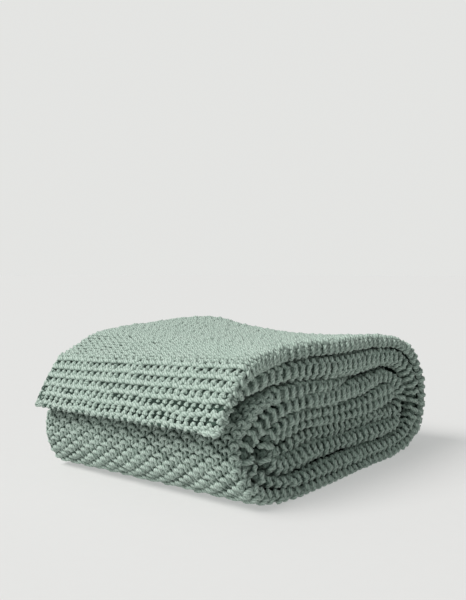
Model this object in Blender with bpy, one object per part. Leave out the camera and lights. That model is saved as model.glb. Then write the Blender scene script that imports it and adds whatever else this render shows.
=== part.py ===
"""A chunky knitted throw blanket, folded lengthwise into four layers and rolled up flat.

Metres, +Z up, +Y towards the back, +X along the rolled width. The origin is on the floor under
the middle of the bundle. The hem hangs over the front as a flap, and the two closed folds of
the four layers show at the +X end.
"""

import math
from typing import NamedTuple

import bpy
import numpy as np

# Driving sizes
WIDTH = 0.325
LAYER_GAP = 0.0010
SPLINE_STEPS = 24
STATIONS = 99
STATION_LENGTH = 0.020
STATION_TURN = math.radians(11.0)
RUN_POINTS = 5
ARC_POINTS = 5

# The flap's hem on the inner pair of layers is tucked back by this much
INNER_HEM_TUCK = 0.020
HEM_FADE = 0.090

# Uneven closed folds at the +X end: pitch and depth of their slow waves
EDGE_WAVE_PITCH = 0.31
EDGE_WAVE_DEPTH = 0.0028

# Unevenness over the width, growing towards the left end: the top sags behind the right folds
# and rises to a crown at the back, and the front and its flap draw in and droop
TOP_SAG = 0.24
TOP_RISE = 0.32
FRONT_LOSS = 0.088
FRONT_START = -0.008
FRONT_DRAW_IN = 0.26
FLAP_DRAW_IN = 0.36
FLAP_DROP = 0.003
# Where each of these sets in and where it is full, as heights z or as places y
SETTLE_Z = (0.03, 0.17)
FLAP_Z = (0.060, 0.095)
CROWN_Y = (-0.02, 0.30)
FRONT_LOSS_Y = (-0.01, 0.06)
DROOP_LENGTH = 0.05

SAGE_GREEN = (0.36, 0.45, 0.39, 1.0)
KNIT_ROUGHNESS = 0.9


class Section(NamedTuple):
    """One place on the strip: its mid line, the thickness of each pair and how far each is set in."""

    y: float
    z: float
    outer: float
    inner: float
    outer_in: float
    inner_in: float


# From the hem on top, round the back, under, round the front and inwards to the core
ROLL = [
    # Flap over the front
    Section(-0.0675, 0.0865, 0.0080, 0.0060, 0.000, 0.004),
    Section(-0.0500, 0.1065, 0.0110, 0.0080, 0.000, 0.006),
    Section(-0.0260, 0.1265, 0.0155, 0.0120, 0.000, 0.006),
    # Top
    Section(0.0000, 0.1400, 0.0210, 0.0180, 0.000, 0.004),
    Section(0.0400, 0.1480, 0.0205, 0.0200, 0.000, 0.002),
    Section(0.1000, 0.1515, 0.0210, 0.0245, 0.000, 0.000),
    Section(0.1500, 0.1505, 0.0215, 0.0280, 0.000, 0.000),
    Section(0.2000, 0.1510, 0.0210, 0.0295, 0.000, 0.000),
    Section(0.2500, 0.1510, 0.0205, 0.0280, 0.000, 0.000),
    Section(0.3000, 0.1490, 0.0190, 0.0235, -0.001, 0.000),
    # Back
    Section(0.3350, 0.1445, 0.0165, 0.0245, -0.003, 0.000),
    Section(0.3620, 0.1300, 0.0165, 0.0235, -0.005, -0.001),
    Section(0.3825, 0.1050, 0.0160, 0.0225, -0.005, -0.001),
    Section(0.3925, 0.0800, 0.0150, 0.0215, -0.004, -0.001),
    Section(0.3880, 0.0550, 0.0150, 0.0195, -0.004, -0.001),
    Section(0.3730, 0.0360, 0.0145, 0.0165, -0.006, -0.003),
    Section(0.3470, 0.0215, 0.0135, 0.0140, -0.008, -0.005),
    # Underside
    Section(0.3150, 0.0145, 0.0110, 0.0125, -0.010, -0.007),
    Section(0.2800, 0.0110, 0.0125, 0.0135, -0.011, -0.008),
    Section(0.1950, 0.0095, 0.0115, 0.0160, -0.011, -0.008),
    Section(0.1250, 0.0105, 0.0125, 0.0140, -0.011, -0.008),
    Section(0.0600, 0.0125, 0.0140, 0.0100, -0.013, -0.009),
    Section(0.0210, 0.0170, 0.0160, 0.0095, -0.014, -0.009),
    # Front
    Section(-0.0040, 0.0245, 0.0200, 0.0125, -0.013, -0.007),
    Section(-0.0190, 0.0355, 0.0195, 0.0175, -0.009, -0.004),
    Section(-0.0272, 0.0490, 0.0160, 0.0225, -0.004, -0.002),
    Section(-0.0282, 0.0640, 0.0145, 0.0225, -0.001, -0.001),
    Section(-0.0180, 0.0790, 0.0175, 0.0230, 0.001, 0.000),
    # Second pass towards the back, its outer pair sunk behind the others past the middle
    Section(0.0000, 0.0905, 0.0200, 0.0205, 0.002, 0.000),
    Section(0.0200, 0.1000, 0.0185, 0.0195, 0.002, 0.000),
    Section(0.0500, 0.1080, 0.0155, 0.0165, 0.001, 0.000),
    Section(0.1000, 0.1100, 0.0145, 0.0165, 0.001, 0.000),
    Section(0.1400, 0.1085, 0.0125, 0.0175, 0.002, 0.000),
    Section(0.1750, 0.1105, 0.0085, 0.0200, 0.005, 0.000),
    Section(0.2050, 0.1125, 0.0065, 0.0215, 0.014, 0.001),
    Section(0.2400, 0.1150, 0.0060, 0.0235, 0.020, 0.001),
    Section(0.2800, 0.1170, 0.0060, 0.0165, 0.020, 0.001),
    Section(0.3100, 0.1155, 0.0060, 0.0150, 0.019, 0.002),
    # Back of the second turn
    Section(0.3350, 0.1070, 0.0055, 0.0170, 0.018, 0.002),
    Section(0.3520, 0.0960, 0.0055, 0.0200, 0.018, 0.003),
    Section(0.3595, 0.0800, 0.0055, 0.0220, 0.018, 0.003),
    Section(0.3550, 0.0630, 0.0055, 0.0200, 0.014, 0.004),
    Section(0.3420, 0.0520, 0.0070, 0.0170, 0.008, 0.006),
    # Pass back towards the front
    Section(0.3200, 0.0470, 0.0135, 0.0175, 0.002, 0.008),
    Section(0.2800, 0.0485, 0.0195, 0.0185, 0.000, 0.009),
    Section(0.2300, 0.0470, 0.0185, 0.0170, 0.000, 0.009),
    Section(0.1750, 0.0470, 0.0180, 0.0160, 0.000, 0.008),
    Section(0.1300, 0.0490, 0.0215, 0.0170, 0.000, 0.008),
    Section(0.0950, 0.0485, 0.0220, 0.0175, 0.000, 0.009),
    Section(0.0650, 0.0435, 0.0190, 0.0150, 0.001, 0.010),
    # Turn at the core
    Section(0.0400, 0.0440, 0.0185, 0.0110, 0.001, 0.010),
    Section(0.0240, 0.0520, 0.0195, 0.0095, 0.001, 0.006),
    Section(0.0230, 0.0640, 0.0140, 0.0095, 0.001, 0.006),
    Section(0.0340, 0.0730, 0.0100, 0.0110, 0.001, 0.005),
    # Core, ending in a round tip at the back
    Section(0.0600, 0.0770, 0.0120, 0.0115, 0.002, 0.006),
    Section(0.1000, 0.0790, 0.0120, 0.0095, 0.002, 0.003),
    Section(0.1500, 0.0770, 0.0110, 0.0105, 0.002, 0.002),
    Section(0.2000, 0.0765, 0.0110, 0.0115, 0.002, 0.002),
    Section(0.2400, 0.0785, 0.0100, 0.0125, 0.002, 0.002),
    Section(0.2800, 0.0840, 0.0135, 0.0140, 0.002, 0.002),
    Section(0.3080, 0.0865, 0.0110, 0.0120, 0.003, 0.003),
    Section(0.3260, 0.0870, 0.0060, 0.0070, 0.006, 0.006),
]


def clear_scene() -> None:
    """Remove every object of the open scene."""
    for obj in list(bpy.data.objects):
        bpy.data.objects.remove(obj, do_unlink=True)


def smooth_step(low: float, high: float, value: np.ndarray) -> np.ndarray:
    """0 below low, 1 above high and a smooth ramp between them."""
    ramp = np.clip((value - low) / (high - low), 0.0, 1.0)
    return ramp * ramp * (3.0 - 2.0 * ramp)


def fine_strip() -> np.ndarray:
    """The table's rows joined by a Catmull-Rom curve, one finer row for each small step."""
    rows = np.array(ROLL)
    before = np.vstack([2 * rows[0] - rows[1], rows[:-2]])
    after = np.vstack([rows[2:], 2 * rows[-1] - rows[-2]])
    start, end = rows[:-1], rows[1:]
    pieces = []
    for step in range(SPLINE_STEPS):
        t = step / SPLINE_STEPS
        tangent_in = 0.5 * (end - before)
        tangent_out = 0.5 * (after - start)
        pieces.append(
            (2 * t**3 - 3 * t**2 + 1) * start
            + (t**3 - 2 * t**2 + t) * tangent_in
            + (3 * t**2 - 2 * t**3) * end
            + (t**3 - t**2) * tangent_out
        )
    fine = np.stack(pieces, axis=1).reshape(-1, rows.shape[1])
    return np.vstack([fine, rows[-1]])


def strip_stations() -> tuple[np.ndarray, np.ndarray, np.ndarray]:
    """Rows along the strip, closer where it turns, with their outward normals and lengths."""
    fine = fine_strip()
    step = np.diff(fine[:, :2], axis=0)
    length = np.hypot(step[:, 0], step[:, 1])
    heading = np.unwrap(np.arctan2(step[:, 1], step[:, 0]))
    turn = np.abs(np.diff(heading, prepend=heading[0]))
    effort = np.concatenate([[0.0], np.cumsum(length / STATION_LENGTH + turn / STATION_TURN)])
    travelled = np.concatenate([[0.0], np.cumsum(length)])
    wanted = np.linspace(0.0, effort[-1], STATIONS)
    rows = np.column_stack([np.interp(wanted, effort, column) for column in fine.T])
    along = np.interp(wanted, effort, travelled)
    tangent = np.gradient(rows[:, :2], along, axis=0)
    tangent /= np.linalg.norm(tangent, axis=1, keepdims=True)
    outward = np.column_stack([-tangent[:, 1], tangent[:, 0]])
    return rows, outward, along


def turn(top: float, bottom: float, edge: float, side: int) -> list[tuple[float, float]]:
    """Half circle from top down to bottom that bulges to the given side and reaches x = edge."""
    radius = (top - bottom) / 2
    middle = (top + bottom) / 2
    angles = np.linspace(math.pi / 2, -math.pi / 2, ARC_POINTS)
    return [
        (edge - side * radius * (1 - math.cos(a)), middle + radius * math.sin(a)) for a in angles
    ]


def run(x_from: float, x_to: float, height: float) -> list[tuple[float, float]]:
    """Inner points of a straight run of one layer, its ends left to the turns."""
    share = np.linspace(0.0, 1.0, RUN_POINTS)[1:-1]
    return [(x_from + s * (x_to - x_from), height) for s in share]


def zigzag_side(section: np.ndarray, edges: tuple[float, float, float], side: int) -> np.ndarray:
    """One face of the four joined layers, as points across the width and through the thickness.

    Side +1 starts on the outermost face and side -1 on the face under it. Both have the same
    count of points, so that they pair off.
    """
    outer, inner = section[2], section[3]
    outer_half = outer / 4 - LAYER_GAP / 2
    inner_half = inner / 4 - LAYER_GAP / 2
    left, outer_edge, inner_edge = edges
    if side < 0:
        outer_edge -= 2 * outer_half
        inner_edge -= 2 * inner_half
    else:
        left += outer_half + inner_half
    layers = [
        outer * 0.75 + side * outer_half,
        outer * 0.25 - side * outer_half,
        -inner * 0.25 + side * inner_half,
        -inner * 0.75 - side * inner_half,
    ]
    turns = [
        turn(layers[0], layers[1], outer_edge, 1),
        turn(layers[1], layers[2], left, -1),
        turn(layers[2], layers[3], inner_edge, 1),
    ]
    start, finish = (edges[0], layers[0]), (edges[0], layers[3])
    points = [start]
    for height, bend in zip(layers, turns):
        points += run(points[-1][0], bend[0][0], height) + bend
    points += run(points[-1][0], finish[0], layers[3]) + [finish]
    return np.array(points)


def settle(points: np.ndarray) -> np.ndarray:
    """Bend the even roll into the soft, uneven bundle, higher on the left and at the back."""
    x, y, z = points.T
    leftness = np.clip(0.5 - x / WIDTH, 0.0, 1.0)
    height = smooth_step(*SETTLE_Z, z)
    crown = leftness * (TOP_RISE * leftness - TOP_SAG) * smooth_step(*CROWN_Y, y)
    loss = FRONT_LOSS * leftness * (1.0 - smooth_step(*FRONT_LOSS_Y, y))
    flap = smooth_step(*FLAP_Z, z)
    draw_in = leftness * (FRONT_DRAW_IN + (FLAP_DRAW_IN - FRONT_DRAW_IN) * flap)
    droop = FLAP_DROP * leftness * flap * smooth_step(0.0, DROOP_LENGTH, FRONT_START - y)
    z = z * (1.0 + (crown - loss) * height) - droop
    y = np.where(y < FRONT_START, y - (y - FRONT_START) * draw_in, y)
    return np.column_stack([x, y, np.maximum(z, 0.0)])


def blanket_points() -> np.ndarray:
    """Every station's ring of points, outer side first and its other side reversed after it."""
    rows, outward, along = strip_stations()
    wave = np.sin(2 * math.pi * along / EDGE_WAVE_PITCH)
    tuck = INNER_HEM_TUCK * (1.0 - smooth_step(0.0, HEM_FADE, along))
    rings = []
    for index, section in enumerate(rows):
        outer, inner, outer_in, inner_in = section[2:]
        right = WIDTH / 2 - EDGE_WAVE_DEPTH * (1 + wave[index])
        edges = (-WIDTH / 2, right - outer_in, right - inner_in)
        above = zigzag_side(section, edges, 1)
        below = zigzag_side(section, edges, -1)
        ring = np.vstack([above, below[::-1]])
        across, through = ring.T
        inner_share = smooth_step(0.0, 1.0, 0.5 - through / (outer + inner))
        spot = section[:2] + through[:, None] * outward[index]
        tangent = np.array([outward[index][1], -outward[index][0]])
        spot += (tuck[index] * inner_share)[:, None] * tangent
        rings.append(settle(np.column_stack([across, spot])))
    return np.array(rings)


def ring_faces(rings: np.ndarray) -> list[tuple[int, ...]]:
    """Triangles between neighbouring rings, and quads through the thickness at both ends.

    Every pair of triangles is split from the left on one ring to the right on the next one, so
    that faces lying close together bend alike.
    """
    stations, count = rings.shape[:2]
    faces: list[tuple[int, ...]] = []
    for station in range(stations - 1):
        low, high = station * count, (station + 1) * count
        for point in range(count):
            following = (point + 1) % count
            if rings[station, point, 0] < rings[station, following, 0]:
                faces.append((low + point, low + following, high + following))
                faces.append((low + point, high + following, high + point))
            else:
                faces.append((low + point, low + following, high + point))
                faces.append((low + following, high + following, high + point))
    last = (stations - 1) * count
    for point in range(count // 2 - 1):
        across, back = point + 1, count - 1 - point
        faces.append((point, back, back - 1, across))
        faces.append((last + point, last + across, last + back - 1, last + back))
    return faces


def knit_material() -> bpy.types.Material:
    """Soft matt sage green yarn."""
    material = bpy.data.materials.new("sage_knit")
    material.use_nodes = True
    shader = material.node_tree.nodes["Principled BSDF"]
    shader.inputs["Base Color"].default_value = SAGE_GREEN
    shader.inputs["Roughness"].default_value = KNIT_ROUGHNESS
    shader.inputs["Metallic"].default_value = 0.0
    return material


def make_blanket() -> bpy.types.Object:
    """The whole blanket as one closed body."""
    rings = blanket_points()
    points = rings.reshape(-1, 3)
    points[:, 1] -= (points[:, 1].min() + points[:, 1].max()) / 2
    points[:, 0] -= (points[:, 0].min() + points[:, 0].max()) / 2
    mesh = bpy.data.meshes.new("blanket")
    mesh.from_pydata(points.tolist(), [], ring_faces(rings))
    mesh.validate()
    mesh.materials.append(knit_material())
    mesh.shade_smooth()
    blanket = bpy.data.objects.new("blanket", mesh)
    bpy.context.scene.collection.objects.link(blanket)
    return blanket


clear_scene()
make_blanket()
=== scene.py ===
"""Scene of a chunky knitted throw blanket, folded lengthwise in four and rolled up flat.

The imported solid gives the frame. A thin sheet follows its folds, and the knit is laid on that
sheet as real yarn: rows of loops parallel to the hem, twelve wide garter rows at the hem, purl
rows over the top and seed stitch after them. Metres, +Z up, +X along the rolled width, +Y
towards the back.
"""

import logging
import math
from dataclasses import astuple, dataclass, field
from enum import Enum
from typing import NamedTuple

import bpy
import numpy as np
from bpy.types import Material, Mesh, Node, Object, NodeSocket as Socket, NodeTree as Tree
from mathutils import Matrix, Vector

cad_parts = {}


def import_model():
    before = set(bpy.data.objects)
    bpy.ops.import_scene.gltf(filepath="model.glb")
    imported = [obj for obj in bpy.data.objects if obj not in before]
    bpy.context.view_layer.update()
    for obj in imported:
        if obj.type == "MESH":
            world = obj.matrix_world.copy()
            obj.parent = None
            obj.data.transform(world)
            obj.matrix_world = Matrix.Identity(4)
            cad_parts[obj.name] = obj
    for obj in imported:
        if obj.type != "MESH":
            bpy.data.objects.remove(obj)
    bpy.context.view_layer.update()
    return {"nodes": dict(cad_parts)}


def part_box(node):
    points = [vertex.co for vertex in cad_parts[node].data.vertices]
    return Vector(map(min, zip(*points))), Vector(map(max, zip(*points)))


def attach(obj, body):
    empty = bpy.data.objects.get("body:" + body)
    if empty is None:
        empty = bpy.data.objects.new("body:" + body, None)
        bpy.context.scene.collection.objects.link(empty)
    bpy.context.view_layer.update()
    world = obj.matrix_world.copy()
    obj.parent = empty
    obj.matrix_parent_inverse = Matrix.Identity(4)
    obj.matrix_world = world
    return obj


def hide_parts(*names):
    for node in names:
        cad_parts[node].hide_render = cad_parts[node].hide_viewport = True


LOG = logging.getLogger("throw_blanket")
BODY = "root"
NODE = "blanket"
# Over half of any layer's thickness, so it leaves the layers as thick as they are
FULL_HALF = 1.0
MATT_SPECULAR = 0.2
MOTTLE_SCALE = 60.0
MOTTLE_DETAIL = 2.0
MOTTLE_DEPTH = 0.97
TINY = 1e-9
MILLIMETRES = 1000
# Added to a row's number, because a random source takes no key below 0
FIRST_ROW_KEY = 500

Colour = tuple[float, float, float, float]
Triple = tuple[float, float, float]
Pair = tuple[float, float]
Array = np.ndarray


class Section(NamedTuple):
    """One place on the strip: its mid line, each pair's thickness and how far each is set in."""

    y: float
    z: float
    outer: float
    inner: float
    outer_in: float
    inner_in: float


# From the hem on top, round the back, under, round the front and inwards to the core
ROLL = [
    # Flap over the front
    Section(-0.0675, 0.0865, 0.0080, 0.0060, 0.000, 0.004),
    Section(-0.0500, 0.1065, 0.0110, 0.0080, 0.000, 0.006),
    Section(-0.0260, 0.1265, 0.0155, 0.0120, 0.000, 0.006),
    # Top
    Section(0.0000, 0.1400, 0.0210, 0.0180, 0.000, 0.004),
    Section(0.0400, 0.1480, 0.0205, 0.0200, 0.000, 0.002),
    Section(0.1000, 0.1515, 0.0210, 0.0245, 0.000, 0.000),
    Section(0.1500, 0.1505, 0.0215, 0.0280, 0.000, 0.000),
    Section(0.2000, 0.1510, 0.0210, 0.0295, 0.000, 0.000),
    Section(0.2500, 0.1510, 0.0205, 0.0280, 0.000, 0.000),
    Section(0.3000, 0.1490, 0.0190, 0.0235, -0.001, 0.000),
    # Back
    Section(0.3350, 0.1445, 0.0165, 0.0245, -0.003, 0.000),
    Section(0.3620, 0.1300, 0.0165, 0.0235, -0.005, -0.001),
    Section(0.3825, 0.1050, 0.0160, 0.0225, -0.005, -0.001),
    Section(0.3925, 0.0800, 0.0150, 0.0215, -0.004, -0.001),
    Section(0.3880, 0.0550, 0.0150, 0.0195, -0.004, -0.001),
    Section(0.3730, 0.0360, 0.0145, 0.0165, -0.006, -0.003),
    Section(0.3470, 0.0215, 0.0135, 0.0140, -0.008, -0.005),
    # Underside
    Section(0.3150, 0.0145, 0.0110, 0.0125, -0.010, -0.007),
    Section(0.2800, 0.0110, 0.0125, 0.0135, -0.011, -0.008),
    Section(0.1950, 0.0095, 0.0115, 0.0160, -0.011, -0.008),
    Section(0.1250, 0.0105, 0.0125, 0.0140, -0.011, -0.008),
    Section(0.0600, 0.0125, 0.0140, 0.0100, -0.013, -0.009),
    Section(0.0210, 0.0170, 0.0160, 0.0095, -0.014, -0.009),
    # Front
    Section(-0.0040, 0.0245, 0.0200, 0.0125, -0.013, -0.007),
    Section(-0.0190, 0.0355, 0.0195, 0.0175, -0.009, -0.004),
    Section(-0.0272, 0.0490, 0.0160, 0.0225, -0.004, -0.002),
    Section(-0.0282, 0.0640, 0.0145, 0.0225, -0.001, -0.001),
    Section(-0.0180, 0.0790, 0.0175, 0.0230, 0.001, 0.000),
    # Second pass towards the back, its outer pair sunk behind the others past the middle
    Section(0.0000, 0.0905, 0.0200, 0.0205, 0.002, 0.000),
    Section(0.0200, 0.1000, 0.0185, 0.0195, 0.002, 0.000),
    Section(0.0500, 0.1080, 0.0155, 0.0165, 0.001, 0.000),
    Section(0.1000, 0.1100, 0.0145, 0.0165, 0.001, 0.000),
    Section(0.1400, 0.1085, 0.0125, 0.0175, 0.002, 0.000),
    Section(0.1750, 0.1105, 0.0085, 0.0200, 0.005, 0.000),
    Section(0.2050, 0.1125, 0.0065, 0.0215, 0.014, 0.001),
    Section(0.2400, 0.1150, 0.0060, 0.0235, 0.020, 0.001),
    Section(0.2800, 0.1170, 0.0060, 0.0165, 0.020, 0.001),
    Section(0.3100, 0.1155, 0.0060, 0.0150, 0.019, 0.002),
    # Back of the second turn
    Section(0.3350, 0.1070, 0.0055, 0.0170, 0.018, 0.002),
    Section(0.3520, 0.0960, 0.0055, 0.0200, 0.018, 0.003),
    Section(0.3595, 0.0800, 0.0055, 0.0220, 0.018, 0.003),
    Section(0.3550, 0.0630, 0.0055, 0.0200, 0.014, 0.004),
    Section(0.3420, 0.0520, 0.0070, 0.0170, 0.008, 0.006),
    # Pass back towards the front
    Section(0.3200, 0.0470, 0.0135, 0.0175, 0.002, 0.008),
    Section(0.2800, 0.0485, 0.0195, 0.0185, 0.000, 0.009),
    Section(0.2300, 0.0470, 0.0185, 0.0170, 0.000, 0.009),
    Section(0.1750, 0.0470, 0.0180, 0.0160, 0.000, 0.008),
    Section(0.1300, 0.0490, 0.0215, 0.0170, 0.000, 0.008),
    Section(0.0950, 0.0485, 0.0220, 0.0175, 0.000, 0.009),
    Section(0.0650, 0.0435, 0.0190, 0.0150, 0.001, 0.010),
    # Turn at the core
    Section(0.0400, 0.0440, 0.0185, 0.0110, 0.001, 0.010),
    Section(0.0240, 0.0520, 0.0195, 0.0095, 0.001, 0.006),
    Section(0.0230, 0.0640, 0.0140, 0.0095, 0.001, 0.006),
    Section(0.0340, 0.0730, 0.0100, 0.0110, 0.001, 0.005),
    # Core, ending in a round tip at the back
    Section(0.0600, 0.0770, 0.0120, 0.0115, 0.002, 0.006),
    Section(0.1000, 0.0790, 0.0120, 0.0095, 0.002, 0.003),
    Section(0.1500, 0.0770, 0.0110, 0.0105, 0.002, 0.002),
    Section(0.2000, 0.0765, 0.0110, 0.0115, 0.002, 0.002),
    Section(0.2400, 0.0785, 0.0100, 0.0125, 0.002, 0.002),
    Section(0.2800, 0.0840, 0.0135, 0.0140, 0.002, 0.002),
    Section(0.3080, 0.0865, 0.0110, 0.0120, 0.003, 0.003),
    Section(0.3260, 0.0870, 0.0060, 0.0070, 0.006, 0.006),
]


class Fold(Enum):
    """Where on the four layers a patch of knit lies."""

    WHOLE_OUTER = "outermost face from its closed fold to its selvedge"
    OUTER_FOLD = "closed fold of the outer pair"
    INNER_FOLD = "closed fold of the inner pair"
    OUTER_SELVEDGE = "selvedge of the outermost layer"
    MIDDLE_FOLD = "fold between the two pairs"
    INNER_SELVEDGE = "selvedge of the innermost layer"


@dataclass(frozen=True)
class YarnFinish:
    """Colours and surface of the plied yarn, with painted shade between its plies and in the
    hollows between loops.
    """

    light: Colour = (0.535, 0.632, 0.568, 1.0)
    deep: Colour = (0.450, 0.565, 0.496, 1.0)
    # Painted shade in the dips between plies
    groove_shade: Colour = (0.185, 0.275, 0.225, 1.0)
    # Painted shade deep in the hollows between loops, faded out between the heights deep_at and
    # full_at in millimetres
    hollow_shade: Colour = (0.042, 0.080, 0.060, 1.0)
    deep_at: float = -4.7
    full_at: float = 0.6
    roughness: float = 0.92
    sheen: float = 0.18
    specular: float = 0.25
    plies: float = 4.0
    twists: float = 0.95
    ply_roundness: float = 0.55
    bump: float = 0.00060
    fibre_scale: float = 900.0
    fibre_detail: float = 3.0
    fibre_share: float = 0.35
    patch_scale: float = 26.0
    patch_detail: float = 2.0


@dataclass(frozen=True)
class HoleShadeFinish:
    """Painted shade: the sheet's dark green colour, seen only deep in the holes of the knit, where
    shade falls.
    """

    colour: Colour = (0.022, 0.038, 0.030, 1.0)
    roughness: float = 1.0


@dataclass(frozen=True)
class FloorFinish:
    """Plain pale studio floor that glows a little as painted light, so that its shadows stay soft.
    """

    colour: Colour = (0.39, 0.39, 0.385, 1.0)
    roughness: float = 0.85
    painted_glow: Colour = (1.0, 1.0, 0.99, 1.0)
    painted_glow_strength: float = 0.395


def smooth_step(low: float, high: float, value: Array) -> Array:
    """Ramp smoothly between two values.

    Args:
        low: Where the ramp leaves 0.
        high: Where it reaches 1.
        value: The values to ramp.

    Returns:
        0 below low, 1 above high and a smooth ramp between them.
    """
    ramp = np.clip((value - low) / (high - low), 0.0, 1.0)
    return ramp * ramp * (3.0 - 2.0 * ramp)


def ease(start: Array, end: Array, share: Array) -> Array:
    """Go from one value to another, level at both ends.

    Args:
        start: The value at share 0.
        end: The value at share 1.
        share: How far along, held between 0 and 1.

    Returns:
        The eased value.
    """
    return start + (end - start) * (0.5 - 0.5 * np.cos(math.pi * np.clip(share, 0.0, 1.0)))


def unit(vectors: Array) -> Array:
    """Bring vectors to length 1.

    Args:
        vectors: The vectors, along the last axis.

    Returns:
        The same directions at length 1.
    """
    return vectors / np.maximum(np.linalg.norm(vectors, axis=-1, keepdims=True), TINY)


@dataclass
class RollShape:
    """The wound, folded strip that the cloth follows.

    It gives points of the bundle from three numbers: the length along the strip from the hem,
    the place across the width, and the height above the strip's mid line.
    """

    width: float = 0.325
    layer_gap: float = 0.0010
    spline_steps: int = 24
    stations: int = 99
    station_length: float = 0.020
    station_turn: float = math.radians(11.0)
    run_points: int = 5
    arc_points: int = 5
    thin_inset: float = 0.003
    thin_left_inset: float = 0.006
    thin_hem_inset: float = 0.005
    inner_hem_tuck: float = 0.020
    hem_fade: float = 0.090
    edge_wave_pitch: float = 0.31
    edge_wave_depth: float = 0.0028
    top_sag: float = 0.24
    top_rise: float = 0.32
    front_loss: float = 0.088
    front_start: float = -0.008
    front_draw_in: float = 0.26
    flap_draw_in: float = 0.36
    flap_drop: float = 0.003
    settle_z: Pair = (0.03, 0.17)
    flap_z: Pair = (0.060, 0.095)
    crown_y: Pair = (-0.02, 0.30)
    front_loss_y: Pair = (-0.01, 0.06)
    droop_length: float = 0.05
    along: Array = field(init=False, repr=False)
    rows: Array = field(init=False, repr=False)
    tangents: Array = field(init=False, repr=False)
    shift: Array = field(init=False, repr=False)

    def __post_init__(self) -> None:
        """Work out the fine strip, with no shift until the bundle is centred on its box."""
        self.rows = self._fine_strip()
        step = np.hypot(*np.diff(self.rows[:, :2], axis=0).T)
        self.along = np.concatenate([[0.0], np.cumsum(step)])
        self.tangents = unit(np.gradient(self.rows[:, :2], self.along, axis=0))
        self.shift = np.zeros(3)

    @property
    def length(self) -> float:
        """Length of the strip's mid line from the hem to the core."""
        return float(self.along[-1])

    def _fine_strip(self) -> Array:
        """Join the table's rows by a Catmull-Rom curve."""
        rows = np.array(ROLL)
        before = np.vstack([2 * rows[0] - rows[1], rows[:-2]])
        after = np.vstack([rows[2:], 2 * rows[-1] - rows[-2]])
        start, end = rows[:-1], rows[1:]
        pieces = []
        for step in range(self.spline_steps):
            t = step / self.spline_steps
            pieces.append(
                (2 * t**3 - 3 * t**2 + 1) * start
                + (t**3 - 2 * t**2 + t) * 0.5 * (end - before)
                + (3 * t**2 - 2 * t**3) * end
                + (t**3 - t**2) * 0.5 * (after - start)
            )
        fine = np.stack(pieces, axis=1).reshape(-1, rows.shape[1])
        return np.vstack([fine, rows[-1]])

    def column(self, name: str, along: Array) -> Array:
        """Read one column of the strip.

        Args:
            name: A field of Section.
            along: Lengths along the strip.

        Returns:
            The column's values there.
        """
        return np.interp(along, self.along, self.rows[:, Section._fields.index(name)])

    def right_edge(self, name: str, along: Array) -> Array:
        """Place of a pair's closed fold across the width.

        Args:
            name: outer_in or inner_in.
            along: Lengths along the strip.

        Returns:
            The x of the fold's furthest point.
        """
        wave = np.sin(math.tau * along / self.edge_wave_pitch)
        return self.width / 2 - self.edge_wave_depth * (1 + wave) - self.column(name, along)

    def place(self, along: Array, across: Array, through: Array) -> Array:
        """Turn strip coordinates into points of the settled bundle.

        Args:
            along: Length along the strip from the hem. Below 0 it runs straight on.
            across: Place across the width, 0 in the middle.
            through: Height above the strip's mid line, outwards.

        Returns:
            Points, their last axis x, y and z.
        """
        along, across, through = np.broadcast_arrays(along, across, through)
        held = np.clip(along, 0.0, self.length)
        ty = np.interp(held, self.along, self.tangents[:, 0])
        tz = np.interp(held, self.along, self.tangents[:, 1])
        outer, inner = self.column("outer", held), self.column("inner", held)
        inner_share = smooth_step(0.0, 1.0, 0.5 - through / (outer + inner))
        tuck = self.inner_hem_tuck * (1.0 - smooth_step(0.0, self.hem_fade, held)) * inner_share
        forward = along - held + tuck
        y = self.column("y", held) - through * tz + forward * ty
        z = self.column("z", held) + through * ty + forward * tz
        return self._settle(across, y, z) - self.shift

    def path_lengths(self, above: Array) -> Array:
        """Length of a path beside the strip, which is longer round the outside of a turn.

        Args:
            above: Its height above the mid line at each of the strip's fine rows.

        Returns:
            Its length up to each fine row.
        """
        outward = np.column_stack([-self.tangents[:, 1], self.tangents[:, 0]])
        path = self.rows[:, :2] + above[:, None] * outward
        step = np.hypot(*np.diff(path, axis=0).T)
        return np.concatenate([[0.0], np.cumsum(step)])

    def _settle(self, x: Array, y: Array, z: Array) -> Array:
        """Bend the even roll into the soft, uneven bundle, higher on the left and at the back."""
        leftness = np.clip(0.5 - x / self.width, 0.0, 1.0)
        height = smooth_step(*self.settle_z, z)
        crown = leftness * (self.top_rise * leftness - self.top_sag)
        crown = crown * smooth_step(*self.crown_y, y)
        loss = self.front_loss * leftness * (1.0 - smooth_step(*self.front_loss_y, y))
        flap = smooth_step(*self.flap_z, z)
        draw_in = leftness * (self.front_draw_in + (self.flap_draw_in - self.front_draw_in) * flap)
        below_start = smooth_step(0.0, self.droop_length, self.front_start - y)
        droop = self.flap_drop * leftness * flap * below_start
        z = z * (1.0 + (crown - loss) * height) - droop
        y = np.where(y < self.front_start, y - (y - self.front_start) * draw_in, y)
        return np.stack([x, y, np.maximum(z, 0.0)], axis=-1)

    def _station_lengths(self) -> Array:
        """Lengths along the strip for the sheet's rings, closer where it turns."""
        step = np.diff(self.rows[:, :2], axis=0)
        heading = np.unwrap(np.arctan2(step[:, 1], step[:, 0]))
        turn = np.abs(np.diff(heading, prepend=heading[0]))
        share = np.hypot(*step.T) / self.station_length + turn / self.station_turn
        effort = np.concatenate([[0.0], np.cumsum(share)])
        wanted = np.linspace(0.0, effort[-1], self.stations)
        return np.interp(wanted, effort, self.along)

    def _turn(self, top: float, bottom: float, edge: float, side: int) -> list[Pair]:
        """Half circle from top down to bottom that reaches x = edge."""
        radius = (top - bottom) / 2
        angles = np.linspace(math.pi / 2, -math.pi / 2, self.arc_points)
        return [
            (edge - side * radius * (1 - math.cos(a)), (top + bottom) / 2 + radius * math.sin(a))
            for a in angles
        ]

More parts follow.
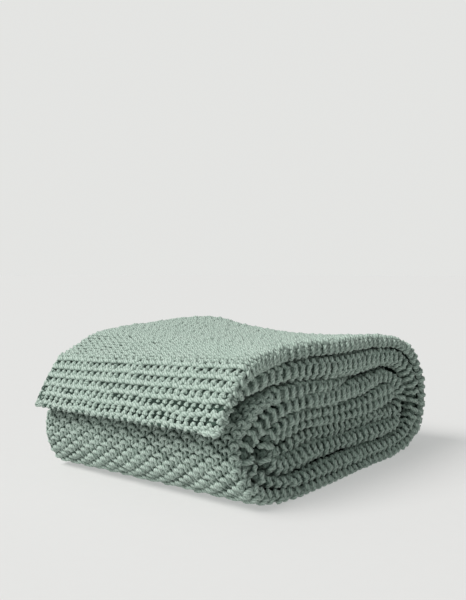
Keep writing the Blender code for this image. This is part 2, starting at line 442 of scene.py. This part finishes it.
    def _zigzag_side(self, along: float, half_limit: float, side: int) -> Array:
        """One face of the four joined layers, across the width and through the thickness."""
        outer, inner = float(self.column("outer", along)), float(self.column("inner", along))
        outer_half = min(outer / 4 - self.layer_gap / 2, half_limit)
        inner_half = min(inner / 4 - self.layer_gap / 2, half_limit)
        left = -self.width / 2
        outer_edge = float(self.right_edge("outer_in", along))
        inner_edge = float(self.right_edge("inner_in", along))
        if half_limit < FULL_HALF:
            inset = max(outer / 4 - outer_half, self.thin_inset)
            left += self.thin_left_inset
            outer_edge, inner_edge = outer_edge - inset, inner_edge - inset
        start = left
        if side < 0:
            outer_edge -= 2 * outer_half
            inner_edge -= 2 * inner_half
        else:
            left += outer_half + inner_half
        layers = [
            outer * 0.75 + side * outer_half,
            outer * 0.25 - side * outer_half,
            -inner * 0.25 + side * inner_half,
            -inner * 0.75 - side * inner_half,
        ]
        turns = [
            self._turn(layers[0], layers[1], outer_edge, 1),
            self._turn(layers[1], layers[2], left, -1),
            self._turn(layers[2], layers[3], inner_edge, 1),
        ]
        share = np.linspace(0.0, 1.0, self.run_points)[1:-1]
        points = [(start, layers[0])]
        for height, bend in zip(layers, turns):
            x_from = points[-1][0]
            points += [(x_from + s * (bend[0][0] - x_from), height) for s in share] + bend
        x_from = points[-1][0]
        points += [(x_from + s * (start - x_from), layers[3]) for s in share]
        return np.array(points + [(start, layers[3])])

    def rings(self, half_limit: float) -> Array:
        """Closed rings round the four layers, one for each station.

        Args:
            half_limit: Most that half a layer's thickness may be, in metres.

        Returns:
            Points by station and place round the ring.
        """
        rings = []
        hem = self.thin_hem_inset if half_limit < FULL_HALF else 0.0
        for along in np.maximum(self._station_lengths(), hem):
            above = self._zigzag_side(along, half_limit, 1)
            below = self._zigzag_side(along, half_limit, -1)
            ring = np.vstack([above, below[::-1]])
            rings.append(self.place(np.full(len(ring), along), ring[:, 0], ring[:, 1]))
        return np.array(rings)

    def centre_on(self, low: Vector, high: Vector) -> None:
        """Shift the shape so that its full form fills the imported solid's box.

        Args:
            low: The box's lowest corner.
            high: The box's highest corner.
        """
        points = self.rings(FULL_HALF).reshape(-1, 3)
        found = (points.min(axis=0) + points.max(axis=0)) / 2
        wanted = (np.array(low) + np.array(high)) / 2
        self.shift = np.array([found[0] - wanted[0], found[1] - wanted[1], 0.0])


def build_mesh(name: str, points: Array, faces: Array) -> Mesh:
    """Make a smooth mesh from arrays.

    Args:
        name: The mesh's name.
        points: Its points.
        faces: Its quads, as rows of point numbers.

    Returns:
        The new mesh.
    """
    mesh = bpy.data.meshes.new(name)
    mesh.vertices.add(len(points))
    mesh.vertices.foreach_set("co", points.astype(np.float32).ravel())
    mesh.loops.add(faces.size)
    mesh.loops.foreach_set("vertex_index", faces.astype(np.int32).ravel())
    mesh.polygons.add(len(faces))
    starts = np.arange(0, faces.size, faces.shape[1], dtype=np.int32)
    mesh.polygons.foreach_set("loop_start", starts)
    mesh.update(calc_edges=True)
    mesh.polygons.foreach_set("use_smooth", np.ones(len(faces), dtype=bool))
    return mesh


def add_object(data: bpy.types.ID) -> Object:
    """Put a mesh, light or camera in the scene as an object of the same name.

    Args:
        data: The mesh, light or camera.

    Returns:
        The linked object.
    """
    obj = bpy.data.objects.new(data.name, data)
    bpy.context.scene.collection.objects.link(obj)
    return obj


def feed(tree: Tree, node: Node, inputs: dict[str | int, object]) -> None:
    """Give a node what its inputs take.

    Args:
        tree: The tree that the node is in.
        node: The node.
        inputs: For an input's name or number, the output it is linked to, or its value.
    """
    for key, value in inputs.items():
        if isinstance(value, Socket):
            tree.links.new(value, node.inputs[key])
        else:
            node.inputs[key].default_value = value


def calculate(tree: Tree, operation: str, *values: Socket | float) -> Socket:
    """Add a node that calculates with numbers.

    Args:
        tree: The tree to add it to.
        operation: What it does, such as MULTIPLY.
        values: Its inputs in their order.

    Returns:
        The result.
    """
    node = tree.nodes.new("ShaderNodeMath")
    node.operation = operation
    feed(tree, node, dict(enumerate(values)))
    return node.outputs["Value"]


def mix_colours(tree: Tree, share: Socket, low: Socket | Colour, high: Socket | Colour) -> Socket:
    """Add a node that mixes two colours.

    Args:
        tree: The tree to add it to.
        share: How much of the second colour there is.
        low: The colour at share 0.
        high: The colour at share 1.

    Returns:
        The mixed colour.
    """
    node = tree.nodes.new("ShaderNodeMix")
    node.data_type = "RGBA"
    feed(tree, node, {"Factor": share, "A": low, "B": high})
    return node.outputs["Result"]


def add_noise(tree: Tree, scale: float, detail: float) -> Socket:
    """Add a noise that lies still in the object.

    Args:
        tree: The tree to add it to.
        scale: How fine it is.
        detail: How many finer noises are laid over it.

    Returns:
        The noise, from 0 to 1.
    """
    place = tree.nodes.new("ShaderNodeTexCoord")
    node = tree.nodes.new("ShaderNodeTexNoise")
    feed(tree, node, {"Vector": place.outputs["Object"], "Scale": scale, "Detail": detail})
    return node.outputs["Fac"]


@dataclass
class YarnMaterial:
    """Plied cotton yarn with its plies winding along it."""

    finish: YarnFinish = field(default_factory=YarnFinish)

    def build(self) -> Material:
        """Make the material.

        Returns:
            A node material that reads the yarn's own UVs, u along it and v round it.
        """
        finish = self.finish
        material = bpy.data.materials.new("sage_yarn")
        material.use_nodes = True
        tree = material.node_tree
        ply = self._ply_wave(tree)
        fibre = add_noise(tree, finish.fibre_scale, finish.fibre_detail)
        patch = add_noise(tree, finish.patch_scale, finish.patch_detail)
        tone = mix_colours(tree, patch, finish.deep, finish.light)
        # Painted shade: the colour darkens in the dips between plies
        groove_shaded_tone = mix_colours(tree, ply, finish.groove_shade, tone)
        height = calculate(tree, "MULTIPLY_ADD", fibre, finish.fibre_share, ply)
        bump = tree.nodes.new("ShaderNodeBump")
        feed(tree, bump, {"Strength": 1.0, "Distance": finish.bump, "Height": height})
        surface = {
            "Base Color": self._paint_hollow_shade(tree, groove_shaded_tone),
            "Normal": bump.outputs["Normal"],
            "Roughness": finish.roughness,
            "Sheen Weight": finish.sheen,
            "Specular IOR Level": finish.specular,
        }
        feed(tree, tree.nodes["Principled BSDF"], surface)
        return material

    def _paint_hollow_shade(self, tree: Tree, colour: Socket) -> Socket:
        """The colour with painted shade, darkened where the yarn lies deep between its neighbours.
        """
        height = tree.nodes.new("ShaderNodeAttribute")
        height.attribute_name = "rise"
        ramp = tree.nodes.new("ShaderNodeMapRange")
        ramp.interpolation_type = "SMOOTHSTEP"
        limits = {"From Min": self.finish.deep_at, "From Max": self.finish.full_at}
        feed(tree, ramp, {"Value": height.outputs["Fac"], **limits})
        return mix_colours(tree, ramp.outputs["Result"], self.finish.hollow_shade, colour)

    def _ply_wave(self, tree: Tree) -> Socket:
        """A wave that is 1 on the back of each ply and 0 in the dip between two; it shapes the
        bump and masks the painted shade between plies.
        """
        uv = tree.nodes.new("ShaderNodeUVMap")
        uv.uv_map = "yarn"
        split = tree.nodes.new("ShaderNodeSeparateXYZ")
        feed(tree, split, {"Vector": uv.outputs["UV"]})
        along = calculate(tree, "MULTIPLY", split.outputs["X"], math.tau * self.finish.twists)
        plies = math.pi * self.finish.plies
        turn = calculate(tree, "MULTIPLY_ADD", split.outputs["Y"], plies, along)
        size = calculate(tree, "ABSOLUTE", calculate(tree, "SINE", turn))
        return calculate(tree, "POWER", size, self.finish.ply_roundness)


def plain_material(name: str, finish: HoleShadeFinish | FloorFinish) -> Material:
    """Matt material with a faint procedural mottle.

    Args:
        name: The material's name.
        finish: Its colour and roughness.

    Returns:
        The node material.
    """
    material = bpy.data.materials.new(name)
    material.use_nodes = True
    tree = material.node_tree
    mottle = add_noise(tree, MOTTLE_SCALE, MOTTLE_DETAIL)
    darker = tuple(MOTTLE_DEPTH * c for c in finish.colour[:3]) + (1.0,)
    mottled = mix_colours(tree, mottle, darker, finish.colour)
    matt = {"Roughness": finish.roughness, "Specular IOR Level": MATT_SPECULAR}
    feed(tree, tree.nodes["Principled BSDF"], {"Base Color": mottled, **matt})
    return material


@dataclass
class BlanketSheet:
    """The thin folded sheet under the yarn, which closes the holes of the knit and carries their
    painted shade.
    """

    shape: RollShape
    half_thickness: float = 0.0006
    finish: HoleShadeFinish = field(default_factory=HoleShadeFinish)

    def build(self) -> Object:
        """Make the sheet.

        Returns:
            The sheet as one closed mesh.
        """
        rings = self.shape.rings(self.half_thickness)
        stations, count = rings.shape[:2]
        place = np.arange(count)
        low = (np.arange(stations - 1) * count)[:, None] + place
        following = np.roll(low, -1, axis=1)
        sides = np.stack([low, following, following + count, low + count], axis=-1).reshape(-1, 4)
        half = np.arange(count // 2 - 1)
        back = count - 1 - half
        first = np.stack([half, back, back - 1, half + 1], axis=-1)
        last = np.stack([half, half + 1, back - 1, back], axis=-1) + (stations - 1) * count
        mesh = build_mesh("blanket_sheet", rings.reshape(-1, 3), np.vstack([sides, first, last]))
        # The sheet's dark colour is painted shade in the holes of the knit
        mesh.materials.append(plain_material("painted_hole_shade", self.finish))
        sheet = add_object(mesh)
        LOG.info("%s: %d faces", sheet.name, len(mesh.polygons))
        return sheet


@dataclass(frozen=True)
class KnitPatch:
    """A run of rows on one fold, with its own fineness.

    A patch is ribbed all over on a closed fold, and edge ribs mark only the stitches next to one.
    """

    name: str
    fold: Fold
    first_row: int
    last_row: int
    first_stitch: int
    last_stitch: int
    steps: int
    sides: int
    ribbed: bool = False
    edge_ribs: bool = False


@dataclass(frozen=True)
class LoopForm:
    """How the loops of one kind of knit lie.

    Reach is half a loop's height, neck how far its legs swing in under its head, and narrow how
    far they draw together. Foot and shoulder are the heights of a knit stitch's legs, near its
    base and near its head, and knee and ankle those of a purl stitch's, in the same order. All
    four are shares of the knitter's swing, and so are sunk, the depth of hidden heads, and crest,
    the height of those that show. Bulk is the yarn's thickness, as a share of the knitter's.
    """

    reach: float
    neck: float
    narrow: float
    foot: float
    shoulder: float
    knee: float
    ankle: float
    sunk: float
    crest: float
    bulk: float


@dataclass
class Knitter:
    """Lays yarn on the roll as rows of interlocked loops, parallel to the hem.

    Plain is the form of purl and seed stitch rows, garter that of the rows at the hem, ridge that
    of the closed folds and rim that of the stitches beside them. Knit turns and purl turns are
    the shares of half a loop at which its legs have their two heights. Small yarn is the yarn's
    share of its full thickness where a fold leaves no room, and end share that at a row's ends.
    The rooms are shares of a pair's thickness, and so is face share, the height at which the
    outermost face's rows are counted. Bend stitches, counted back from the last, say where that
    face bends in. Lift is a small step outwards. The yarn wanders between knots, one a stitch.
    """

    shape: RollShape
    stitch_width: float = 0.0120
    row_height: float = 0.00675
    plain: LoopForm = LoopForm(0.0044, 0.0026, -0.0004, -0.1, 0.5, -0.2, -0.25, 0.7, 0.85, 0.94)
    garter: LoopForm = LoopForm(0.0060, 0.0022, 0.0022, 0.25, -0.75, -0.95, -1.15, 1.3, 1.0, 1.21)
    ridge: LoopForm = LoopForm(0.0043, 0.0023, 0.0004, -0.8, -0.9, -0.9, -0.8, 1.1, 1.1, 1.17)
    rim: LoopForm = LoopForm(0.0046, 0.0021, 0.0000, -0.45, -0.55, -0.55, -0.45, 0.55, 0.75, 1.18)
    swing: float = 0.0028
    yarn_radius: float = 0.0027
    leg_thinness: float = 0.14
    knit_turns: Pair = (0.25, 0.61)
    purl_turns: Pair = (0.39, 0.75)
    small_yarn: float = 0.55
    uneven_yarn: float = 0.05
    end_share: float = 0.02
    pair_room: float = 0.5
    selvedge_room: float = 0.45
    bend_room: float = 0.25
    bend_stitches: Pair = (1.5, 0.5)
    face_share: float = 0.85
    lift: float = 0.001
    sink: float = 0.0030
    crowding: float = 0.35
    edge_stitches: int = 2
    hem_ripple: float = 0.0016
    ripple_stitches: float = 6.3
    ripple_fade: float = 0.050
    garter_rows: int = 12
    garter_height: float = 0.0080
    purl_end: int = 68
    whole_stitches: int = 29
    hem_radius: float = 0.0045
    hem_turn: float = 0.9 * math.pi
    first_knot: int = -4
    knots_past: int = 6
    jitter: float = 0.00055
    seed: int = 11

    def knit_side(self, patch: KnitPatch, stitch: Array, row: Array) -> Array:
        """Which face of the cloth a stitch is knitted from.

        Args:
            patch: The patch that the stitch is in.
            stitch: Stitch numbers along the row.
            row: Row numbers from the hem.

        Returns:
            1 for a knit stitch and -1 for a purl one: garter stitch near the hem, then purl rows
            over the top, then seed stitch.
        """
        garter = np.where(row % 2 == 0, 1.0, -1.0)
        seed_stitch = np.where((stitch + row) % 2 == 0, 1.0, -1.0)
        in_garter = (row < self.garter_rows) | self._ribbed(patch, stitch)
        rest = np.where(row < self.purl_end, -1.0, seed_stitch)
        return np.where(in_garter, garter, rest)

    def _ribbed(self, patch: KnitPatch, stitch: Array) -> Array:
        """Whether stitches lie on a closed fold, where the knit shows as ribs across it."""
        on_edge = (stitch < self.edge_stitches) & patch.edge_ribs
        return on_edge | patch.ribbed

    def _form(self, patch: KnitPatch, stitch: Array, row: Array) -> Array:
        """The numbers of each stitch's loop form, one array for each of them."""
        forms = [self.plain, self.garter, self.ridge, self.rim]
        rib = self.ridge if patch.ribbed else self.rim
        kinds = np.where(row < self.garter_rows, forms.index(self.garter), forms.index(self.plain))
        kinds = np.where(self._ribbed(patch, stitch), forms.index(rib), kinds)
        return np.moveaxis(np.array([astuple(form) for form in forms])[kinds], -1, 0)

    def _loop(self, patch: KnitPatch, stitch: Array, turn: Array, row: Array) -> tuple[Array, ...]:
        """Sideways, upward and outward offsets of the yarn's centre within its stitch."""
        here = self.knit_side(patch, stitch, row)
        above = self.knit_side(patch, stitch, row + 1)
        left = (self.knit_side(patch, stitch - 1, row) + here) / 2
        right = (self.knit_side(patch, stitch + 1, row) + here) / 2
        form = self._form(patch, stitch, row)
        reach, neck, narrow, foot, shoulder, knee, ankle, sunk, crest = form[:-1]
        knit = here > 0
        low_leg, high_leg = np.where(knit, foot, knee), np.where(knit, shoulder, ankle)
        turns = zip(self.knit_turns, self.purl_turns)
        low_turn, high_turn = (np.where(knit, own, other) for own, other in turns)
        phase = turn / math.pi
        half = np.minimum(phase, 2.0 - phase)
        base = -np.where(phase < 1.0, left, right)
        base = base * np.where(base > 0, crest, sunk)
        head = -above * np.where(above < 0, crest, sunk)
        depth = np.where(half < low_turn, ease(base, low_leg, half / low_turn), 0.0)
        between = (half - low_turn) / (high_turn - low_turn)
        depth = np.where(half >= low_turn, ease(low_leg, high_leg, between), depth)
        top = ease(high_leg, head, (half - high_turn) / (1.0 - high_turn))
        depth = np.where(half >= high_turn, top, depth)
        sideways = neck * np.sin(2 * turn) + narrow * np.sin(turn)
        upward = -reach * np.cos(turn)
        return sideways, upward, self.swing * depth

    def _wrap(self, patch: KnitPatch, arc: Array, along: Array) -> tuple[Array, ...]:
        """Place and outward direction of the cloth's face for a length round one fold.

        The length is 0 at the fold's furthest point and grows over its outer side.
        """
        shape = self.shape
        outer, inner = shape.column("outer", along), shape.column("inner", along)
        outer_half = outer / 4 - shape.layer_gap / 2
        inner_half = inner / 4 - shape.layer_gap / 2
        centre = self._middle(patch.fold, outer, inner)
        left = -shape.width / 2
        side, edge = -1, left
        if patch.fold in (Fold.WHOLE_OUTER, Fold.OUTER_FOLD):
            radius, side, edge = outer / 4 + outer_half, 1, shape.right_edge("outer_in", along)
        elif patch.fold is Fold.INNER_FOLD:
            radius, side, edge = inner / 4 + inner_half, 1, shape.right_edge("inner_in", along)
        elif patch.fold is Fold.OUTER_SELVEDGE:
            radius = outer_half
        elif patch.fold is Fold.INNER_SELVEDGE:
            radius = inner_half
        else:
            radius = (outer + inner) / 8 + (outer_half + inner_half) / 2
        quarter = math.pi * radius / 2
        angle = np.clip(arc / radius, -math.pi / 2, math.pi / 2)
        beyond = np.maximum(np.abs(arc) - quarter, 0.0)
        x_centre = edge - side * radius
        x = x_centre + side * (radius * np.cos(angle) - beyond)
        n = centre + radius * np.sin(angle)
        out_x, out_n = side * np.cos(angle), np.sin(angle)
        if patch.fold is Fold.WHOLE_OUTER:
            run = x_centre - (left + outer_half)
            past = np.maximum(arc - quarter - run, 0.0)
            bend = np.clip(past / outer_half, 0.0, math.pi)
            over = np.maximum(past - math.pi * outer_half, 0.0)
            turned = past > 0
            x = np.where(turned, left + outer_half - outer_half * np.sin(bend) + over, x)
            n = np.where(turned, outer * 0.75 + outer_half * np.cos(bend), n)
            out_x = np.where(turned, -np.sin(bend), out_x)
            out_n = np.where(turned, np.cos(bend), out_n)
        return x, n, out_x, out_n, centre

    def _middle(self, fold: Fold, outer: Array, inner: Array) -> Array:
        """Height of a fold's middle over the mid line, for the thickness of each pair."""
        return {
            Fold.WHOLE_OUTER: outer / 2,
            Fold.OUTER_FOLD: outer / 2,
            Fold.OUTER_SELVEDGE: 0.75 * outer,
            Fold.MIDDLE_FOLD: (outer - inner) / 8,
            Fold.INNER_FOLD: -inner / 2,
            Fold.INNER_SELVEDGE: -0.75 * inner,
        }[fold]

    def _face_lengths(self, fold: Fold) -> Array:
        """Lengths of the path that a fold's rows are counted on, at the strip's fine rows."""
        outer, inner = self.shape.rows[:, 2:4].T
        if fold is Fold.WHOLE_OUTER:
            return self.shape.path_lengths(self.face_share * outer)
        return self.shape.path_lengths(self._middle(fold, outer, inner))

    def rows_at(self, fold: Fold, along: float) -> int:
        """Count a fold's rows up to a place on the strip.

        Args:
            fold: The fold.
            along: The strip's length from the hem to that place.

        Returns:
            The number of whole rows.
        """
        length = np.interp(along, self.shape.along, self._face_lengths(fold))
        garter = min(length, self.garter_rows * self.garter_height)
        return int(garter / self.garter_height + (length - garter) / self.row_height)

    def _row_length(self, row: Array) -> Array:
        """Length from the hem to each row, where garter rows take more room than others."""
        garter = np.minimum(row, self.garter_rows)
        return garter * self.garter_height + (row - garter) * self.row_height

    def _strip_length(self, fold: Fold, length: Array) -> Array:
        """Turn a length along a fold's own path into one along the strip's mid line."""
        found = np.interp(length, self._face_lengths(fold), self.shape.along)
        return found + np.minimum(length, 0.0)

    def _across(self, patch: KnitPatch, stitches: Array, along: Array) -> Array:
        """Length round the fold for a count of stitches from its furthest point."""
        if patch.fold is not Fold.WHOLE_OUTER:
            return stitches * self.stitch_width
        outer = self.shape.column("outer", along)
        half = outer / 4 - self.shape.layer_gap / 2
        radius = outer / 4 + half
        run = self.shape.right_edge("outer_in", along) - radius + self.shape.width / 2 - half
        whole = math.pi * radius / 2 + run + math.pi * half / 2
        pitch = whole / self.whole_stitches
        return np.where(stitches > 0, stitches * pitch, stitches * self.stitch_width)

    def _point(self, patch: KnitPatch, stitches: Array, along: Array, out: Array) -> Array:
        """Points of the bundle for stitch, length and height over the cloth's face."""
        at_hem = 1.0 - smooth_step(0.0, self.ripple_fade, along)
        ripple = np.sin(math.tau * stitches / self.ripple_stitches)
        along = along + self.hem_ripple * at_hem * ripple
        held = np.clip(along, 0.0, self.shape.length)
        arc = self._across(patch, stitches, held)
        x, n, out_x, out_n, centre = self._wrap(patch, arc, held)
        x = x + out * out_x
        n = n + out * out_n
        before = np.maximum(-along, 0.0)
        round_hem = np.minimum(before / self.hem_radius, self.hem_turn)
        rise = n - centre
        n = np.where(before > 0, centre + rise * np.cos(round_hem), n)
        along = np.where(before > 0, -np.abs(rise) * np.sin(round_hem), along)
        return self.shape.place(along, x, n)

    def build(self, patch: KnitPatch, material: Material) -> Object:
        """Knit one patch.

        Args:
            patch: Which rows, on which fold and how fine.
            material: The yarn's material.

        Returns:
            The patch's yarn as one object of tubes, each drawn to a point at its ends.
        """
        rows = np.arange(patch.first_row, patch.last_row)
        count = (patch.last_stitch - patch.first_stitch) * patch.steps + 1
        even = patch.first_stitch + np.arange(count) / patch.steps
        stitch = np.minimum(np.floor(even), patch.last_stitch - 1)
        turn = math.tau * (even - stitch)
        turn = turn - self.crowding / 2 * np.sin(2 * turn)
        place = stitch + turn / math.tau
        row = rows[:, None] + np.zeros(count)
        sideways, upward, outward = self._loop(patch, stitch, turn, row)
        noise = self._unevenness(patch, rows, even)
        stitches = place + sideways / self.stitch_width + noise[0] / self.stitch_width
        along = self._strip_length(patch.fold, self._row_length(row) + upward + noise[1])
        room = self._fold_room(patch, stitches, along)
        small = np.minimum(1.0, room / (self.swing + self.yarn_radius))
        out = (outward - self.sink) * small + noise[2]
        centre = self._point(patch, stitches, along, out)
        lifted = self._point(patch, stitches, along, out + self.lift)
        radius = self.yarn_radius * (self.small_yarn + (1.0 - self.small_yarn) * small)
        radius = radius * (1.0 + self.uneven_yarn * noise[2] / self.jitter)
        bulk = self._form(patch, stitch, row)[-1]
        radius = radius * bulk * (1.0 - self.leg_thinness * np.sin(turn) ** 2)
        radius[:, [0, -1]] *= self.end_share
        mesh = self._tubes(patch, centre, lifted - centre, radius, out)
        mesh.materials.append(material)
        yarn = add_object(mesh)
        LOG.info("%s: %d rows, %d faces", yarn.name, len(rows), len(mesh.polygons))
        return yarn

    def _fold_room(self, patch: KnitPatch, stitches: Array, along: Array) -> Array:
        """How much room a fold's thickness leaves for the loops, least where the face bends in."""
        name = "inner" if patch.fold in (Fold.INNER_FOLD, Fold.INNER_SELVEDGE) else "outer"
        on_pair = patch.fold in (Fold.OUTER_FOLD, Fold.INNER_FOLD, Fold.WHOLE_OUTER)
        share = self.pair_room if on_pair else self.selvedge_room
        thickness = self.shape.column(name, np.clip(along, 0.0, self.shape.length))
        if patch.fold is not Fold.WHOLE_OUTER:
            return thickness * share
        start, end = (self.whole_stitches - back for back in self.bend_stitches)
        at_bend = smooth_step(start, end, stitches)
        return thickness * (share + at_bend * (self.bend_room - share))

    def _unevenness(self, patch: KnitPatch, rows: Array, place: Array) -> Array:
        """Slow, seeded wander of the yarn on three axes, the same for neighbouring patches."""
        knots = np.arange(self.first_knot, self.whole_stitches + self.knots_past)
        # The length of a fold's description sets its draws apart from other folds'
        fold_key = len(patch.fold.value)
        found = np.zeros((3, len(rows), len(place)))
        for axis in range(3):
            for number, row in enumerate(rows):
                key = [self.seed, axis, int(row) + FIRST_ROW_KEY, fold_key]
                wander = np.random.default_rng(key).normal(0.0, self.jitter, len(knots))
                found[axis, number] = np.interp(place, knots, wander)
        return found

    def _tubes(
        self, patch: KnitPatch, centre: Array, ref: Array, radius: Array, out: Array
    ) -> Mesh:
        """Sweep tubes along the rows, with u along the yarn, v round it and its height stored."""
        rows, count = centre.shape[:2]
        tangent = unit(np.gradient(centre, axis=1))
        side = unit(np.cross(tangent, ref))
        up = np.cross(side, tangent)
        angles = math.tau * np.arange(patch.sides) / patch.sides
        sideways = radius[:, :, None] * np.cos(angles)
        upward = radius[:, :, None] * np.sin(angles)
        ring = centre[:, :, None] + sideways[..., None] * side[:, :, None]
        ring += upward[..., None] * up[:, :, None]
        ring[..., 2] = np.maximum(ring[..., 2], 0.0)
        rise = out[:, :, None] + upward
        numbers = np.arange(rows * count * patch.sides).reshape(rows, count, patch.sides)
        near, far = numbers[:, :-1], numbers[:, 1:]
        corners = [near, np.roll(near, -1, axis=2), np.roll(far, -1, axis=2), far]
        quads = np.stack(corners, axis=-1)
        mesh = build_mesh(patch.name, ring.reshape(-1, 3), quads.reshape(-1, 4)[:, ::-1])
        step = np.linalg.norm(np.diff(centre, axis=1), axis=2)
        travelled = np.concatenate([np.zeros((rows, 1)), np.cumsum(step, axis=1)], axis=1)
        travelled = travelled / (2 * self.yarn_radius)
        self._write_uvs(mesh, travelled, patch.sides)
        # Each point's height over the cloth's face, stored for the painted shade between loops
        heights = mesh.attributes.new("rise", "FLOAT", "POINT")
        heights.data.foreach_set("value", (rise * MILLIMETRES).astype(np.float32).ravel())
        return mesh

    def _write_uvs(self, mesh: Mesh, travelled: Array, sides: int) -> None:
        """Store yarn lengths in diameters as u and turns round the yarn as v."""
        near, far = travelled[:, :-1, None], travelled[:, 1:, None]
        first = np.arange(sides) / sides
        second = first + 1 / sides
        corners = [(far, first), (far, second), (near, second), (near, first)]
        pairs = [np.stack(np.broadcast_arrays(*corner), axis=-1) for corner in corners]
        uv = np.stack(pairs, axis=-2)
        layer = mesh.uv_layers.new(name="yarn")
        layer.data.foreach_set("uv", uv.astype(np.float32).ravel())


@dataclass
class Blanket:
    """The whole throw: its sheet and its patches of knit."""

    shape: RollShape
    knitter: Knitter
    flap_end: float = 0.150
    top_end: float = 0.440
    under_end: float = 0.880
    front_end: float = 1.080

    def patches(self) -> list[KnitPatch]:
        """List the patches of knit.

        Returns:
            The patches, finest where the camera is nearest.
        """
        whole = self.knitter.whole_stitches + 1
        count = self.knitter.rows_at
        ends = (self.flap_end, self.top_end, self.under_end, self.front_end)
        flap, top, under, front = (count(Fold.WHOLE_OUTER, end) for end in ends)
        bands = [
            KnitPatch("yarn_flap", Fold.WHOLE_OUTER, -2, flap, -2, whole, 12, 7),
            KnitPatch("yarn_top", Fold.WHOLE_OUTER, flap, top, -1, whole, 9, 6, edge_ribs=True),
            KnitPatch("yarn_rim", Fold.WHOLE_OUTER, top, under, -1, 4, 12, 6, edge_ribs=True),
            KnitPatch("yarn_back", Fold.WHOLE_OUTER, top, under, 3, whole, 6, 5),
            KnitPatch("yarn_front", Fold.WHOLE_OUTER, under, front, -1, whole, 12, 6),
        ]
        inside = [
            (Fold.OUTER_FOLD, self.front_end, -2, 3, 12, 6, True),
            (Fold.INNER_FOLD, 0.0, -2, 2, 12, 6, True),
            (Fold.OUTER_SELVEDGE, self.front_end, -1, 1, 6, 4),
            (Fold.MIDDLE_FOLD, 0.0, -1, 1, 6, 4),
            (Fold.INNER_SELVEDGE, 0.0, -1, 1, 6, 4),
        ]
        for fold, start, *fineness in inside:
            first, last = count(fold, start), count(fold, self.shape.length)
            bands.append(KnitPatch(f"yarn_{fold.name.lower()}", fold, first, last, *fineness))
        return bands

    def build(self) -> list[Object]:
        """Make the sheet and its yarn and tie them to the frame.

        Returns:
            The pieces of the throw.
        """
        sheet = BlanketSheet(self.shape).build()
        material = YarnMaterial().build()
        yarns = [self.knitter.build(patch, material) for patch in self.patches()]
        for piece in [sheet, *yarns]:
            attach(piece, BODY)
        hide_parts(NODE)
        return [sheet, *yarns]


@dataclass
class Studio:
    """Pale floor that runs into the backdrop, a broad key light and the camera.

    The camera's place is measured from the strip's origin, which lies at the shape's shift.
    """

    shift: Array
    floor_size: float = 60.0
    finish: FloorFinish = field(default_factory=FloorFinish)
    camera_place: Triple = (0.6624, -0.6808, 0.2566)
    camera_heading: Pair = (-0.6180, 0.7794)
    horizon_shift: float = -0.05
    focal_pixels: float = 782.0
    image_height: float = 600.0
    sensor: float = 36.0
    ambient_start: float = -0.38
    ambient_near: float = 0.54
    backdrop: Colour = (0.775, 0.779, 0.764, 1.0)
    key_strength: float = 3.00
    key_spread: float = math.radians(32.0)
    key_from: Triple = (-0.36, -0.66, 0.78)
    key_colour: Triple = (1.0, 0.975, 0.965)
    sky: Colour = (0.94, 0.995, 0.975, 1.0)

    def build(self) -> None:
        """Make the floor, world, lights and camera."""
        self._floor()
        self._world()
        self._sun()
        self._camera()
        bpy.context.scene.view_settings.view_transform = "Standard"

    def _floor(self) -> None:
        """One plain pale plane under the blanket."""
        bpy.ops.mesh.primitive_plane_add(size=self.floor_size, location=(0.0, 0.0, 0.0))
        floor = bpy.context.active_object
        floor.name = "floor"
        material = plain_material("pale_floor", self.finish)
        tree = material.node_tree
        # Painted light: the floor glows a little, which lifts its shadows
        painted_glow = {"Emission Color": self.finish.painted_glow, "Emission Strength": self.finish.painted_glow_strength}
        feed(tree, tree.nodes["Principled BSDF"], painted_glow)
        floor.data.materials.append(material)

    def _world(self) -> None:
        """Soft light from all round, and a near-white backdrop where the camera sees it."""
        world = bpy.data.worlds.new("studio")
        world.use_nodes = True
        tree = world.node_tree
        direction = tree.nodes.new("ShaderNodeTexCoord").outputs["Generated"]
        towards = tree.nodes.new("ShaderNodeVectorMath")
        towards.operation = "DOT_PRODUCT"
        feed(tree, towards, {0: direction, 1: Vector(self.key_from).normalized()})
        spread = tree.nodes.new("ShaderNodeMapRange")
        limits = {"From Min": self.ambient_start, "To Max": self.ambient_near}
        feed(tree, spread, {"Value": towards.outputs["Value"], **limits})
        light = tree.nodes["Background"]
        feed(tree, light, {"Color": self.sky, "Strength": spread.outputs["Result"]})
        backdrop = tree.nodes.new("ShaderNodeBackground")
        backdrop.inputs["Color"].default_value = self.backdrop
        seen = tree.nodes.new("ShaderNodeLightPath").outputs["Is Camera Ray"]
        mix = tree.nodes.new("ShaderNodeMixShader")
        shades = {1: light.outputs["Background"], 2: backdrop.outputs["Background"]}
        feed(tree, mix, {0: seen, **shades})
        feed(tree, tree.nodes["World Output"], {"Surface": mix.outputs["Shader"]})
        bpy.context.scene.world = world

    def _sun(self) -> None:
        """One broad key light from high on the left."""
        data = bpy.data.lights.new("key", "SUN")
        data.energy = self.key_strength
        data.color = self.key_colour
        data.angle = self.key_spread
        key = add_object(data)
        key.rotation_euler = Vector(self.key_from).to_track_quat("Z", "Y").to_euler()

    def _camera(self) -> None:
        """The camera at the photograph's place, level, its frame shifted down a little."""
        data = bpy.data.cameras.new("camera")
        data.sensor_fit = "VERTICAL"
        data.sensor_height = self.sensor
        data.lens = self.focal_pixels / self.image_height * self.sensor
        camera = add_object(data)
        data.shift_y = self.horizon_shift
        forward = Vector((*self.camera_heading, 0.0)).normalized()
        up = Vector((0, 0, 1))
        turned = Matrix((forward.cross(up), up, -forward)).transposed()
        place = Vector(self.camera_place) - Vector(self.shift)
        camera.matrix_world = Matrix.Translation(place) @ turned.to_4x4()
        bpy.context.scene.camera = camera


def main() -> None:
    """Load the frame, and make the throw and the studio."""
    logging.basicConfig(level=logging.INFO, format="%(name)s: %(message)s")
    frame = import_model()
    LOG.info("frame nodes: %s", ", ".join(frame["nodes"]))
    shape = RollShape()
    shape.centre_on(*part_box(NODE))
    Blanket(shape, Knitter(shape)).build()
    Studio(shape.shift).build()


if __name__ == "__main__":
    main()
